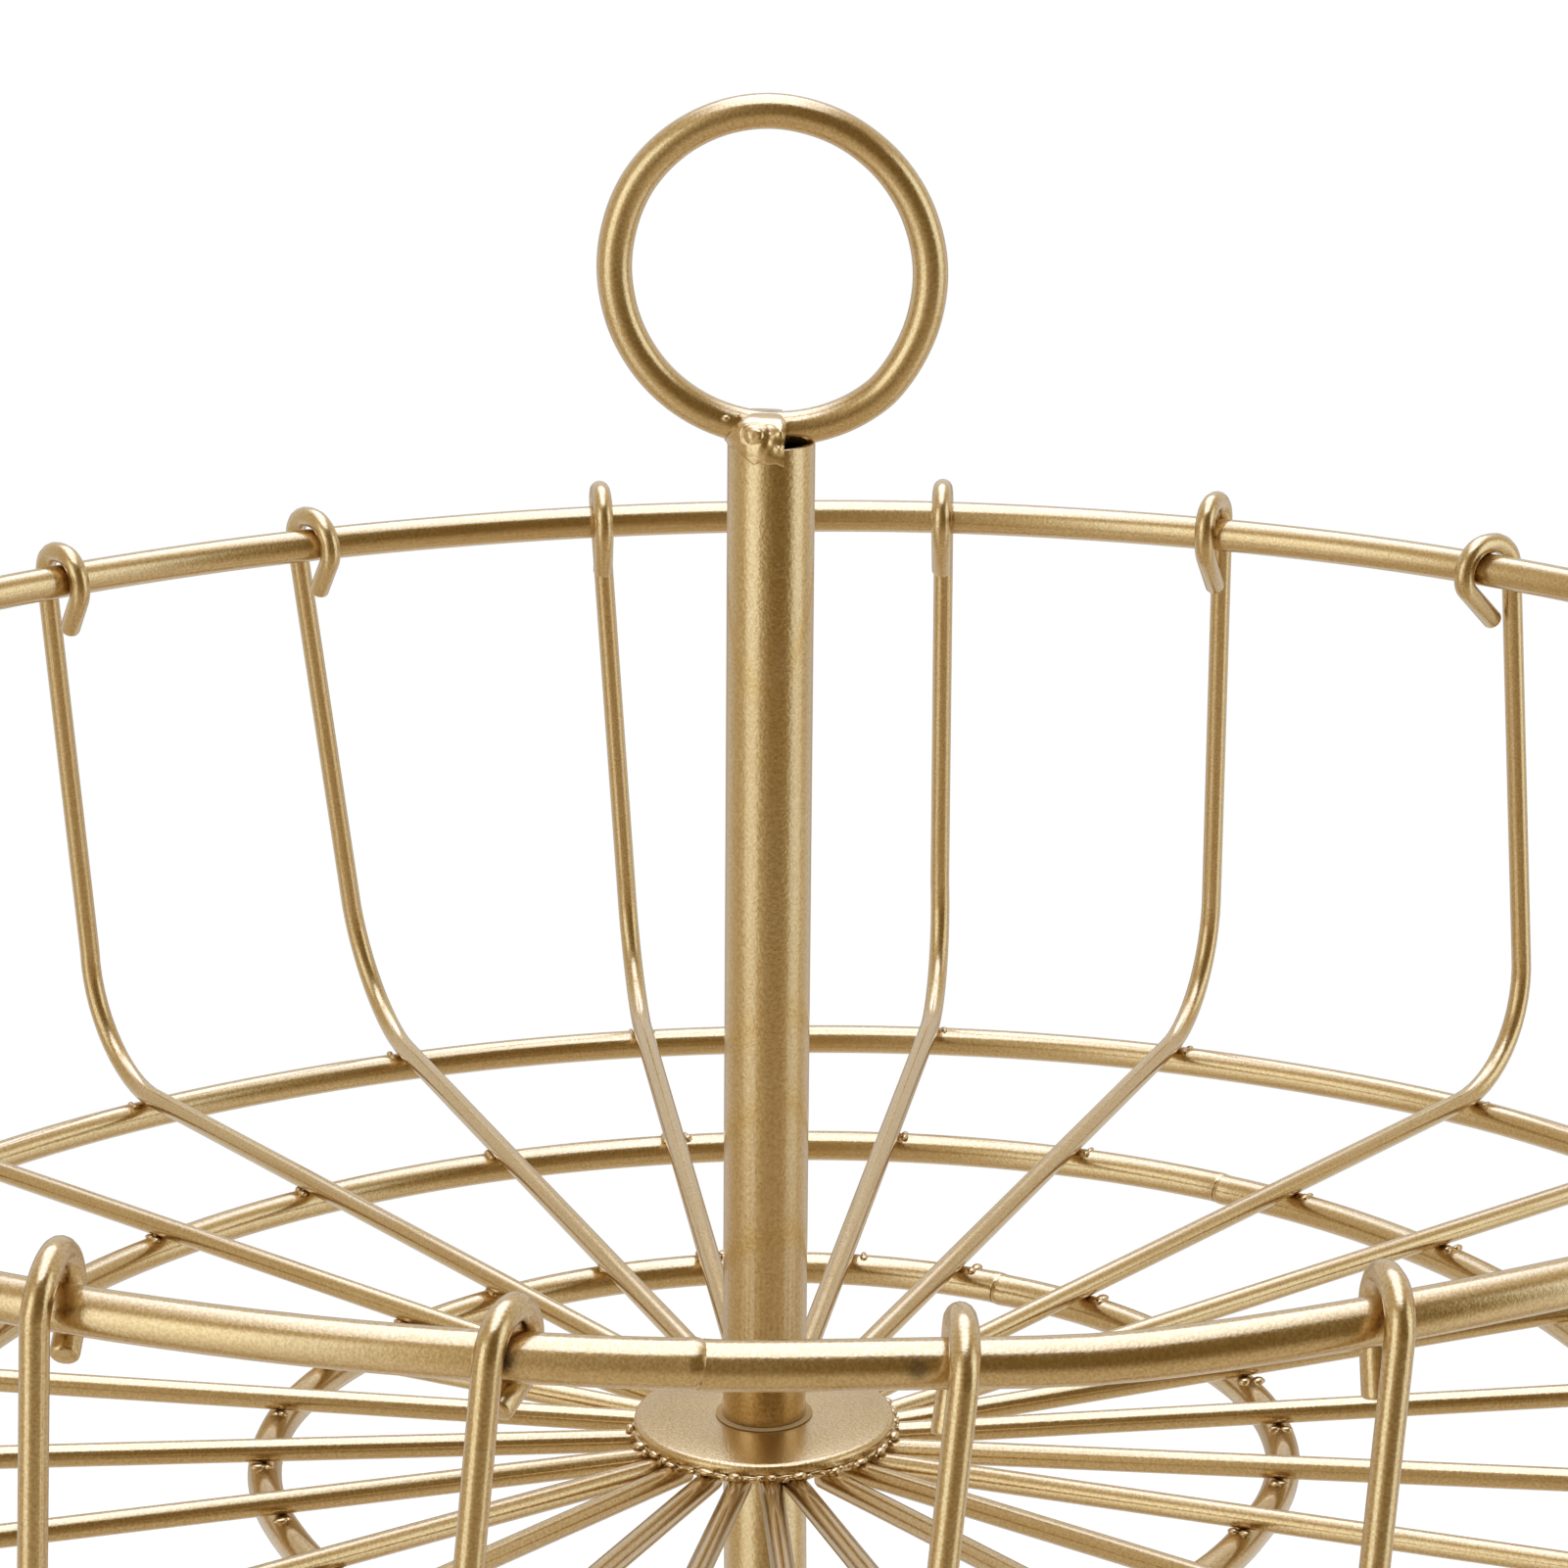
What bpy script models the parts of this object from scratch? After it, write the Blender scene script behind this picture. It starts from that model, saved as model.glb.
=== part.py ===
"""Two-tier wire fruit basket: two round wire baskets on a screwed centre pole with a ring handle.

Metres, +Z up. The origin is the middle of the base, on the pole's axis. Each basket has a round
hub plate, 24 bent wire spokes that hook over its rim, and three floor rings under the spokes.
"""

import math

import bmesh
import bpy

MM = 0.001

# Space left between two pieces that touch or are welded together on the real basket
GAP = 0.3 * MM

# Wire diameters
SPOKE_WIRE = 2.8 * MM
FLOOR_RING_WIRE = 4.1 * MM
RIM_WIRE = 4.6 * MM
HANDLE_WIRE = 4.0 * MM

# Baskets: the radius of each rim's centre line, and its rise above the hub plate's top
UPPER_RIM_RADIUS = 158.0 * MM
UPPER_RIM_RISE = 72.5 * MM
LOWER_RIM_RADIUS = 176.0 * MM
LOWER_RIM_RISE = 72.5 * MM
TIER_SPACING = 190.0 * MM  # from the top of one hub plate to the top of the other

# Bends of a spoke, along its centre line
SPOKE_BEND_RADIUS = 16.3 * MM
SPOKE_BEND_DEG = 95.0  # five degrees past upright, so the basket's side leans in
HOOK_CLEARANCE = 0.45 * MM  # free space between the rim and the inside of the hook
HOOK_DROP = 1.6 * MM  # straight stretch below the rim's middle, inside the rim
TAIL_LENGTH = 7.6 * MM
TAIL_DEG = 36.0  # the tail runs down and back towards the side, this far off upright

# Floor rings, under the spokes
OUTER_RING_PAST_BEND = 3.6 * MM  # how far past the start of the bend the outer ring lies
FLOOR_RING_RADIUS_SHARES = (0.395, 0.704, 1.0)  # of the outer floor ring's radius
FLOOR_RING_NAMES = ("inner", "middle", "outer")

# Hub plates
PLATE_THICKNESS = 1.3 * MM
PLATE_OVER_SPOKES = 2.3 * MM  # how far the plate covers the spokes' inner ends
SPOKE_END_SPACE = 0.35 * MM  # between the inner ends of the two closest spokes

# Pole, its threaded plugs and its stud
POLE_DIAMETER = 10.0 * MM
POLE_WALL = 0.8 * MM
UPPER_POLE_LENGTH = 118.2 * MM
PLUG_LENGTH = 12.0 * MM  # each plug inside an end of the pole
PLUG_WALL = 0.6 * MM  # round the threaded hole
THREAD_PITCH = 1.0 * MM
STUD_TURNS = 9  # turns of thread that hold the upper pole
WASHER_DIAMETER = 11.6 * MM
WASHER_THICKNESS = 0.5 * MM

# Screw that holds the lower basket under the lower pole
SCREW_HEAD_DIAMETER = 11.0 * MM
SCREW_HEAD_HEIGHT = 3.0 * MM
SCREW_IN_PLUG = 8.0 * MM
SCREW_TIP_BEVEL = 0.5 * MM
SOCKET_WIDTH = 4.0 * MM  # across the flats of the key's socket
SOCKET_DEPTH = 1.8 * MM

# Ring handle
HANDLE_DIAMETER = 39.3 * MM  # outside

# Where each spoke stands, in degrees anticlockwise from +X. The wires are set by hand, so they
# stray from an even 15 degrees, and they twist a little between the floor and the rim.
FLOOR_DEG = (
    6.3, 20.5, 36.0, 50.0, 67.4, 81.2, 97.1, 110.7, 125.5, 139.5, 153.5, 168.2,
    182.7, 196.7, 213.5, 227.0, 243.0, 258.2, 273.0, 287.0, 306.7, 320.4, 337.4, 350.9,
)
RIM_DEG = (
    7.2, 21.9, 36.8, 50.4, 66.4, 81.2, 98.8, 114.9, 128.4, 141.6, 156.0, 170.5,
    184.3, 199.0, 214.8, 229.7, 246.0, 261.1, 275.6, 289.9, 307.3, 321.5, 337.9, 352.1,
)
LOWER_TURN_DEG = 115.0  # the lower basket's wires stand at these angles, turned this far round
# First spoke of each pair that is made as one piece on the lower basket, joined at the inner ends
LOWER_PAIRS = (4, 7, 11, 13, 17, 22)

# How finely the round shapes are divided
BEND_STEPS = 5
HOOK_STEPS = 6
WIRE_SIDES = 6
RIM_SIDES = 8
RING_STEPS = 40
SMALL_RING_STEPS = 32
TURNED_STEPS = 32
KEY_SIDES = 6
BEAD_SIDES = 8
MERGE_DISTANCE = 0.01 * MM

# Sizes that follow from the ones above
plug_radius = POLE_DIAMETER / 2 - POLE_WALL - GAP
hole_radius = plug_radius - PLUG_WALL
stud_radius = hole_radius - GAP
hook_radius = (RIM_WIRE + SPOKE_WIRE) / 2 + HOOK_CLEARANCE
spoke_count = len(FLOOR_DEG)
closest_turn = math.radians(min((FLOOR_DEG[i] - FLOOR_DEG[i - 1]) % 360 for i in range(spoke_count)))
spoke_inner_radius = (
    SPOKE_END_SPACE + SPOKE_WIRE * math.cos(closest_turn / 2)
) / (2 * math.sin(closest_turn / 2))
plate_radius = spoke_inner_radius + PLATE_OVER_SPOKES

# Heights within one basket, from the top of its hub plate
spoke_level = -(PLATE_THICKNESS + GAP + SPOKE_WIRE / 2)
ring_level = spoke_level - (SPOKE_WIRE / 2 + GAP + FLOOR_RING_WIRE / 2)
basket_base = ring_level - FLOOR_RING_WIRE / 2

# Heights of the whole, from the surface that the lower basket stands on
lower_plate_top = -basket_base
upper_plate_top = lower_plate_top + TIER_SPACING
lower_pole_bottom = lower_plate_top + GAP
lower_pole_top = upper_plate_top - PLATE_THICKNESS - GAP
washer_bottom = upper_plate_top + GAP
upper_pole_bottom = washer_bottom + WASHER_THICKNESS + GAP
upper_pole_top = upper_pole_bottom + UPPER_POLE_LENGTH


def clear_scene():
    for old in list(bpy.data.objects):
        bpy.data.objects.remove(old, do_unlink=True)


def make_collection(name):
    made = bpy.data.collections.new(name)
    bpy.context.scene.collection.children.link(made)
    return made


def make_material(name, colour, roughness, metallic):
    made = bpy.data.materials.new(name)
    made.use_nodes = True
    shader = made.node_tree.nodes["Principled BSDF"]
    shader.inputs["Base Color"].default_value = (*colour, 1.0)
    shader.inputs["Roughness"].default_value = roughness
    shader.inputs["Metallic"].default_value = metallic
    return made


def add_object(name, data, parent, material, collection):
    made = bpy.data.objects.new(name, data)
    made.parent = parent
    if data is not None and material is not None:
        data.materials.append(material)
    collection.objects.link(made)
    return made


def axis_empty(name, height):
    """An empty on the pole's axis, which the pieces of one body hang from."""
    made = add_object(name, None, None, None, parts)
    made.location.z = height
    return made


def turned(name, outline, parent, material, steps=TURNED_STEPS, closed=True):
    """A turned piece. The outline is (radius, height) points, down its outer side."""
    mesh = bpy.data.meshes.new(name)
    last = len(outline)
    edges = [(i, (i + 1) % last) for i in range(last if closed else last - 1)]
    mesh.from_pydata([(radius, 0, height) for radius, height in outline], edges, [])
    made = add_object(name, mesh, parent, material, parts)
    screw = made.modifiers.new("turn", "SCREW")
    screw.axis = "Z"
    screw.steps = steps
    screw.render_steps = steps
    screw.use_merge_vertices = True
    screw.merge_threshold = MERGE_DISTANCE
    return made


def wire_ring(name, radius, height, corner_radius, sides, steps, parent, material):
    """A closed wire ring, flat above and below, whose section is a polygon."""
    first = math.pi / 2 - math.pi / sides
    turns = [first - 2 * math.pi * i / sides for i in range(sides)]
    outline = [
        (radius + corner_radius * math.cos(turn), height + corner_radius * math.sin(turn))
        for turn in turns
    ]
    return turned(name, outline, parent, material, steps)


def tube_outline(outer, inner, bottom, top):
    return [(outer, top), (outer, bottom), (inner, bottom), (inner, top)]


def spoke_points(floor_deg, rim_deg, rim_radius, rim_rise):
    """Centre line of one spoke, from under the hub plate to the end of its hook's tail."""
    bend = math.radians(SPOKE_BEND_DEG)
    tail = math.radians(TAIL_DEG)
    bend_top = spoke_level + SPOKE_BEND_RADIUS * (1 - math.cos(bend))
    bend_start = bend_start_radius(rim_radius, rim_rise)
    profile = [(spoke_inner_radius, spoke_level)]
    for step in range(BEND_STEPS + 1):
        turn = bend * step / BEND_STEPS
        profile.append(
            (
                bend_start + SPOKE_BEND_RADIUS * math.sin(turn),
                spoke_level + SPOKE_BEND_RADIUS * (1 - math.cos(turn)),
            )
        )
    for step in range(HOOK_STEPS + 1):
        turn = math.pi * step / HOOK_STEPS
        profile.append(
            (rim_radius + hook_radius * math.cos(turn), rim_rise + hook_radius * math.sin(turn))
        )
    inside = rim_radius - hook_radius
    profile.append((inside, rim_rise - HOOK_DROP))
    profile.append(
        (
            inside + TAIL_LENGTH * math.sin(tail),
            rim_rise - HOOK_DROP - TAIL_LENGTH * math.cos(tail),
        )
    )
    points = []
    hooked = False
    for radius, height in profile:
        hooked = hooked or height >= rim_rise
        climb = min(1, max(0, (height - bend_top) / (rim_rise - bend_top)))
        share = 1 if hooked else climb
        turn = math.radians(floor_deg + (rim_deg - floor_deg) * share)
        points.append((radius * math.cos(turn), radius * math.sin(turn), height))
    return points


def bend_start_radius(rim_radius, rim_rise):
    """Where the spoke leaves the floor, so that its leaning side meets the hook."""
    bend = math.radians(SPOKE_BEND_DEG)
    side_height = rim_rise - spoke_level - SPOKE_BEND_RADIUS * (1 - math.cos(bend))
    lean = side_height * math.cos(bend) / math.sin(bend)
    return rim_radius + hook_radius - lean - SPOKE_BEND_RADIUS * math.sin(bend)


def wire(name, points, diameter, parent, material):
    """A wire along a line of points, with its ends closed."""
    curve = bpy.data.curves.new(name, "CURVE")
    curve.dimensions = "3D"
    curve.bevel_depth = diameter / 2
    curve.bevel_resolution = 1
    curve.use_fill_caps = True
    spline = curve.splines.new("POLY")
    spline.points.add(len(points) - 1)
    for point, place in zip(spline.points, points):
        point.co = (*place, 1)
    return add_object(name, curve, parent, material, parts)


def as_mesh(source, collection):
    """A mesh copy of a curve object in its place, with its caps joined on. The curve is removed."""
    bpy.context.view_layer.update()
    graph = bpy.context.evaluated_depsgraph_get()
    mesh = bpy.data.meshes.new_from_object(source.evaluated_get(graph))
    shape = bmesh.new()
    shape.from_mesh(mesh)
    bmesh.ops.remove_doubles(shape, verts=shape.verts, dist=MERGE_DISTANCE)
    shape.to_mesh(mesh)
    shape.free()
    name = source.name
    parent = source.parent
    place = source.matrix_world.copy()
    bpy.data.objects.remove(source, do_unlink=True)
    made = add_object(name, mesh, parent, None, collection)
    made.matrix_world = place
    return made


def boolean(target, tool, operation):
    """Joins the tool to the target, or cuts it out, and hides the tool."""
    change = target.modifiers.new(tool.name, "BOOLEAN")
    change.operation = operation
    change.object = tool
    tool.hide_render = True
    tool.display_type = "WIRE"


def spoke_pair(name, first, second, middle_deg, material):
    """Two neighbouring spokes made one piece by a bead between their inner ends."""
    axis = first.parent
    first = as_mesh(first, parts)
    second = as_mesh(second, cutters)
    middle = math.radians(middle_deg)
    bead_radius = SPOKE_WIRE / 2
    reach = spoke_inner_radius + bead_radius
    mesh = bpy.data.meshes.new(name + "_bead")
    shape = bmesh.new()
    bmesh.ops.create_uvsphere(
        shape, u_segments=BEAD_SIDES, v_segments=BEAD_SIDES, radius=bead_radius
    )
    shape.to_mesh(mesh)
    shape.free()
    bead = add_object(name + "_bead", mesh, axis, None, cutters)
    bead.location = (reach * math.cos(middle), reach * math.sin(middle), spoke_level)
    boolean(first, second, "UNION")
    boolean(first, bead, "UNION")
    first.name = name
    first.data.name = name
    first.data.materials.clear()
    first.data.materials.append(material)


def build_spokes(tier, rim_radius, rim_rise, turn_deg, pairs, axis):
    """The 24 spokes of one basket. Pairs holds the number of each pair's first spoke."""
    spokes = {}
    for number, (floor_deg, rim_deg) in enumerate(zip(FLOOR_DEG, RIM_DEG), 1):
        points = spoke_points(floor_deg + turn_deg, rim_deg + turn_deg, rim_radius, rim_rise)
        spokes[number] = wire(f"{tier}_spoke_{number:02}", points, SPOKE_WIRE, axis, wire_paint)
    for number in pairs:
        following = number % spoke_count + 1
        apart = (FLOOR_DEG[following - 1] - FLOOR_DEG[number - 1]) % 360
        spoke_pair(
            f"{tier}_spokes_{number:02}_{following:02}",
            spokes[number],
            spokes[following],
            FLOOR_DEG[number - 1] + apart / 2 + turn_deg,
            wire_paint,
        )


def build_basket(tier, rim_radius, rim_rise, turn_deg, pairs, axis):
    """One basket: hub plate, floor rings, rim and spokes, hung from its axis empty."""
    plate = tube_outline(plate_radius, hole_radius, -PLATE_THICKNESS, 0)
    turned(f"{tier}_plate", plate, axis, plate_paint)
    outer_radius = bend_start_radius(rim_radius, rim_rise) + OUTER_RING_PAST_BEND
    corner_radius = FLOOR_RING_WIRE / 2 / math.cos(math.pi / WIRE_SIDES)
    for place, share in zip(FLOOR_RING_NAMES, FLOOR_RING_RADIUS_SHARES):
        wire_ring(
            f"{tier}_floor_ring_{place}",
            outer_radius * share,
            ring_level,
            corner_radius,
            WIRE_SIDES,
            SMALL_RING_STEPS if place == "inner" else RING_STEPS,
            axis,
            wire_paint,
        )
    wire_ring(
        f"{tier}_rim", rim_radius, rim_rise, RIM_WIRE / 2, RIM_SIDES, RING_STEPS, axis, wire_paint
    )
    build_spokes(tier, rim_radius, rim_rise, turn_deg, pairs, axis)


def build_lower_pole(axis):
    """The tube between the baskets, with a threaded plug in each end."""
    top = lower_pole_top - axis.location.z
    bottom = lower_pole_bottom - axis.location.z
    bore = POLE_DIAMETER / 2 - POLE_WALL
    turned("lower_pole", tube_outline(POLE_DIAMETER / 2, bore, bottom, top), axis, pole_paint)
    upper_plug = tube_outline(plug_radius, hole_radius, top - PLUG_LENGTH, top)
    turned("lower_pole_top_plug", upper_plug, axis, zinc_steel)
    lower_plug = tube_outline(plug_radius, hole_radius, bottom, bottom + PLUG_LENGTH)
    turned("lower_pole_bottom_plug", lower_plug, axis, zinc_steel)


def build_base_screw(axis):
    """The screw under the lower hub plate, with a key socket in its head."""
    head_top = -PLATE_THICKNESS - GAP
    head_bottom = head_top - SCREW_HEAD_HEIGHT
    tip = lower_pole_bottom - axis.location.z + SCREW_IN_PLUG
    outline = [
        (0, tip),
        (stud_radius - SCREW_TIP_BEVEL, tip),
        (stud_radius, tip - SCREW_TIP_BEVEL),
        (stud_radius, head_top),
        (SCREW_HEAD_DIAMETER / 2, head_top),
        (SCREW_HEAD_DIAMETER / 2, head_bottom + SCREW_TIP_BEVEL),
        (SCREW_HEAD_DIAMETER / 2 - SCREW_TIP_BEVEL, head_bottom),
        (0, head_bottom),
    ]
    screw = turned("base_screw", outline, axis, zinc_steel, closed=False)
    mesh = bpy.data.meshes.new("base_screw_socket")
    shape = bmesh.new()
    corner_radius = SOCKET_WIDTH / 2 / math.cos(math.pi / KEY_SIDES)
    bmesh.ops.create_cone(
        shape,
        cap_ends=True,
        segments=KEY_SIDES,
        radius1=corner_radius,
        radius2=corner_radius,
        depth=2 * SOCKET_DEPTH,
    )
    shape.to_mesh(mesh)
    shape.free()
    socket = add_object("base_screw_socket", mesh, axis, None, cutters)
    socket.location.z = head_bottom
    boolean(screw, socket, "DIFFERENCE")


def build_washer(axis):
    """The thin washer between the upper hub plate and the upper pole."""
    bottom = washer_bottom - axis.location.z
    outline = tube_outline(WASHER_DIAMETER / 2, hole_radius, bottom, bottom + WASHER_THICKNESS)
    turned("pole_washer", outline, axis, nylon)


def build_upper_pole(axis):
    """The top tube, the stud that screws it down through the upper plate, and the ring handle."""
    bottom = upper_pole_bottom - axis.location.z
    top = upper_pole_top - axis.location.z
    bore = POLE_DIAMETER / 2 - POLE_WALL
    turned("upper_pole", tube_outline(POLE_DIAMETER / 2, bore, bottom, top), axis, pole_paint)
    tip = lower_pole_top - STUD_TURNS * THREAD_PITCH - axis.location.z
    outline = [
        (0, bottom + PLUG_LENGTH),
        (plug_radius, bottom + PLUG_LENGTH),
        (plug_radius, bottom),
        (stud_radius, bottom),
        (stud_radius, tip + SCREW_TIP_BEVEL),
        (stud_radius - SCREW_TIP_BEVEL, tip),
        (0, tip),
    ]
    turned("pole_stud", outline, axis, zinc_steel, closed=False)
    outer = HANDLE_DIAMETER / 2
    handle = wire_ring(
        "ring_handle",
        outer - HANDLE_WIRE / 2,
        0,
        HANDLE_WIRE / 2,
        RIM_SIDES,
        RING_STEPS,
        axis,
        wire_paint,
    )
    # The ring sits down on the tube's wall, so its lowest point dips into the open end
    handle.location.z = top + GAP + math.sqrt(outer**2 - bore**2)
    handle.rotation_euler.x = math.pi / 2


clear_scene()
parts = make_collection("two_tier_fruit_basket")
cutters = make_collection("cutters")
wire_paint = make_material("gold_wire_paint", (0.56, 0.40, 0.16), 0.38, 0.9)
plate_paint = make_material("matte_gold_plate_paint", (0.55, 0.42, 0.22), 0.5, 0.8)
pole_paint = make_material("satin_gold_pole_paint", (0.52, 0.36, 0.13), 0.32, 0.9)
zinc_steel = make_material("zinc_plated_steel", (0.62, 0.62, 0.60), 0.35, 1.0)
nylon = make_material("clear_nylon", (0.55, 0.47, 0.34), 0.45, 0.0)

lower_axis = axis_empty("lower_tier_axis", lower_plate_top)
upper_axis = axis_empty("upper_basket_axis", upper_plate_top)
washer_axis = axis_empty("pole_washer_axis", upper_plate_top)
pole_axis = axis_empty("upper_pole_axis", upper_plate_top)

build_basket("lower", LOWER_RIM_RADIUS, LOWER_RIM_RISE, LOWER_TURN_DEG, LOWER_PAIRS, lower_axis)
build_lower_pole(lower_axis)
build_base_screw(lower_axis)
build_basket("upper", UPPER_RIM_RADIUS, UPPER_RIM_RISE, 0, (), upper_axis)
build_washer(washer_axis)
build_upper_pole(pole_axis)
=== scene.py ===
# Two-tier wire fruit basket: smooth bent wires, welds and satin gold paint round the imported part.
import math

import bpy
import numpy as np
from mathutils import Matrix, Vector


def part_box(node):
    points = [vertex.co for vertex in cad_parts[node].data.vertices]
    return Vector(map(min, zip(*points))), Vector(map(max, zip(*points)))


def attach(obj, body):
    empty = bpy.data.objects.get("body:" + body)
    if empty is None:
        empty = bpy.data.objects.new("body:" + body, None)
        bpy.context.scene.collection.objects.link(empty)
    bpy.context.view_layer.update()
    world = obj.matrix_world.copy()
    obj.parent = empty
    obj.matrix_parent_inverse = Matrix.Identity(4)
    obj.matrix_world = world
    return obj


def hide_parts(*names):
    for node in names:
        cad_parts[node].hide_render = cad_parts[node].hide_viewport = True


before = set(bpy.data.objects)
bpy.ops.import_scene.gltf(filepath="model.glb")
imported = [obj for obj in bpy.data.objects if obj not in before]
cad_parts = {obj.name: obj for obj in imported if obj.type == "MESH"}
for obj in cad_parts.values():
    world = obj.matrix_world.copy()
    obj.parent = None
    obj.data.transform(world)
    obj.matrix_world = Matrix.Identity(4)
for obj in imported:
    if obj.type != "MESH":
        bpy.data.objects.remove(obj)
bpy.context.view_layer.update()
mm = 0.001
up = np.array([0, 0, 1.0])
print("frame loaded:", len(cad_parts), "nodes")


# Shapes. Every surface is a grid of points, rows along a path or a profile and columns round it.

def unit(vectors):
    # each vector divided by its own length
    return vectors / np.linalg.norm(vectors, axis=-1, keepdims=True)


def bent(corners, bends, steps):
    # straight runs joined by arcs: an arc starts r tan(turn / 2) before its corner and is
    # start + r (sin a * along + (1 - cos a) * inward)
    points = [corners[:1]]
    for before, corner, after, radius in zip(corners, corners[1:], corners[2:], bends):
        along = unit(corner - before)
        leaving = unit(after - corner)
        turn = math.acos(np.clip(along @ leaving, -1, 1))
        inward = unit(leaving - along * (along @ leaving))
        start = corner - along * radius * math.tan(turn / 2)
        angle = np.linspace(0, turn, steps)[:, None]
        points.append(start + radius * (np.sin(angle) * along + (1 - np.cos(angle)) * inward))
    points.append(corners[-1:])
    return np.vstack(points)


edgeSteps = 4  # points along a rounded edge


def cutEnds(path, radius, edge):
    # a clipped wire: over the last edge of its length the radius falls by a quarter circle
    turn = np.linspace(0, math.pi / 2, edgeSteps)[:, None]
    first = unit(path[1] - path[0])
    last = unit(path[-1] - path[-2])
    head = path[0] + first * edge * (1 - np.cos(turn))
    tail = path[-1] - last * edge * (1 - np.cos(turn[::-1]))
    radii = np.full(len(path) - 2, radius)
    narrowed = radius - edge * (1 - np.sin(turn[:, 0]))
    return np.vstack([head, path[1:-1], tail]), np.concatenate([narrowed, radii, narrowed[::-1]])


def carried(path, radii, across, sides, closed=False):
    # a circle carried along a path: centre + r (cos u * side + sin u * lift), where side is the
    # across direction made square to the path, and lift is square to both
    ahead = unit(np.roll(path, -1, 0) - path)
    behind = np.roll(ahead, 1, 0)
    if not closed:
        ahead[-1] = behind[-1]
        behind[0] = ahead[0]
    along = unit(ahead + behind)
    side = unit(across - along * (along @ across)[:, None])
    lift = np.cross(along, side)
    u = np.linspace(0, 2 * math.pi, sides, endpoint=False)[None, :, None]
    ring = np.cos(u) * side[:, None] + np.sin(u) * lift[:, None]
    return path[:, None] + np.reshape(radii, (-1, 1, 1)) * ring


def aroundPole(radius, u, height):
    # points at a radius, an angle and a height: (r cos u, r sin u, z)
    return np.stack(np.broadcast_arrays(radius * np.cos(u), radius * np.sin(u), height), -1)


def turned(profile, steps):
    # a profile of (radius, height) turned round the pole, one row for each of its points
    u = np.linspace(0, 2 * math.pi, steps, endpoint=False)
    radius, height = np.asarray(profile).T[:, :, None]
    return aroundPole(radius, u, height)


def tubeGrid(bore, radius, low, high, edges, steps):
    # a tube, washer or plate with a hole: a rectangle turned round the pole, its corners rounded by
    # the edges in mm; the profile starts in the middle of its last side
    corners = np.array([(radius, low), (radius, high), (bore, high), (bore, low)])
    middle = (corners[:1] + corners[-1:]) / 2
    rounded = bent(np.vstack([middle, corners, middle]), np.array(edges) * mm, edgeSteps)
    return turned(rounded[:-1], steps)


lumpWaves = dict(rate=2.3, phase=0.7)


def blobs(centres, axes, sizes, lumps, rows=7, columns=10):
    # squashed lumpy balls: centre + size * direction * (1 + sum over x, y and z of
    # lump * sin(rate * direction + phase))
    v = np.linspace(-math.pi / 2, math.pi / 2, rows + 2)[1:-1][:, None]
    u = np.linspace(0, 2 * math.pi, columns, endpoint=False)[None]
    ball = np.stack([np.cos(v) * np.cos(u), np.cos(v) * np.sin(u), np.sin(v) + 0 * u], -1)
    swell = np.sin(lumpWaves["rate"] * ball + lumpWaves["phase"])
    waves = 1 + np.einsum("nk,rck->nrc", lumps, swell)
    local = ball[None] * waves[..., None] * sizes[:, None, None]
    return centres[:, None, None] + np.einsum("nrci,nij->nrcj", local, axes)


def sines(angle, rows):
    # uneven round a circle: the sum of share * sin(count * angle + phase)
    return sum(share * np.sin(count * angle + phase) for share, count, phase in rows)


def gridFaces(rows, columns, closed):
    # quads between neighbouring rows; the columns run round and meet
    row = np.arange(rows if closed else rows - 1)[:, None]
    column = np.arange(columns)[None]
    down = (row + 1) % rows
    over = (column + 1) % columns
    corners = [(row, column), (row, over), (down, over), (down, column)]
    return np.stack([a * columns + b for a, b in corners], -1).reshape(-1, 4)


def placed(name, data):
    # a new object in the scene
    made = bpy.data.objects.new(name, data)
    bpy.context.scene.collection.objects.link(made)
    return made


def newMesh(name, points, faces, material):
    # one mesh of one material
    mesh = bpy.data.meshes.new(name)
    mesh.from_pydata(points.tolist(), [], faces)
    mesh.materials.append(material)
    return mesh


crispDeg = 35  # edges of plates and tubes stay sharp from this angle on


def piece(name, grids, paint, body, nodes=(), closed=False, sharpDeg=50):
    # one mesh from grids of points, its open ends closed by fans, hung on a body of the part; its
    # paint is a material and a slot's name, and the slot's name is not used
    material, slot = paint
    points, faces, first = [], [], 0
    for grid in grids:
        rows, columns = grid.shape[:2]
        points.append(grid.reshape(-1, 3))
        faces += (gridFaces(rows, columns, closed) + first).tolist()
        if not closed:
            j = np.arange(columns)
            over = (j + 1) % columns
            low = first + rows * columns
            points.append(np.stack([grid[0].mean(0), grid[-1].mean(0)]))
            lastRow = first + (rows - 1) * columns
            faces += np.stack([j * 0 + low, over + first, j + first], -1).tolist()
            faces += np.stack([j * 0 + low + 1, j + lastRow, over + lastRow], -1).tolist()
        first = sum(map(len, points))
    mesh = newMesh(name, np.vstack(points), faces, material)
    mesh.shade_smooth()
    mesh.set_sharp_from_angle(angle=math.radians(sharpDeg))
    made = placed(name, mesh)
    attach(made, body)
    if nodes:
        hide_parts(*nodes)


# Materials. A Link is a socket whose operators add Math nodes.

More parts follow.
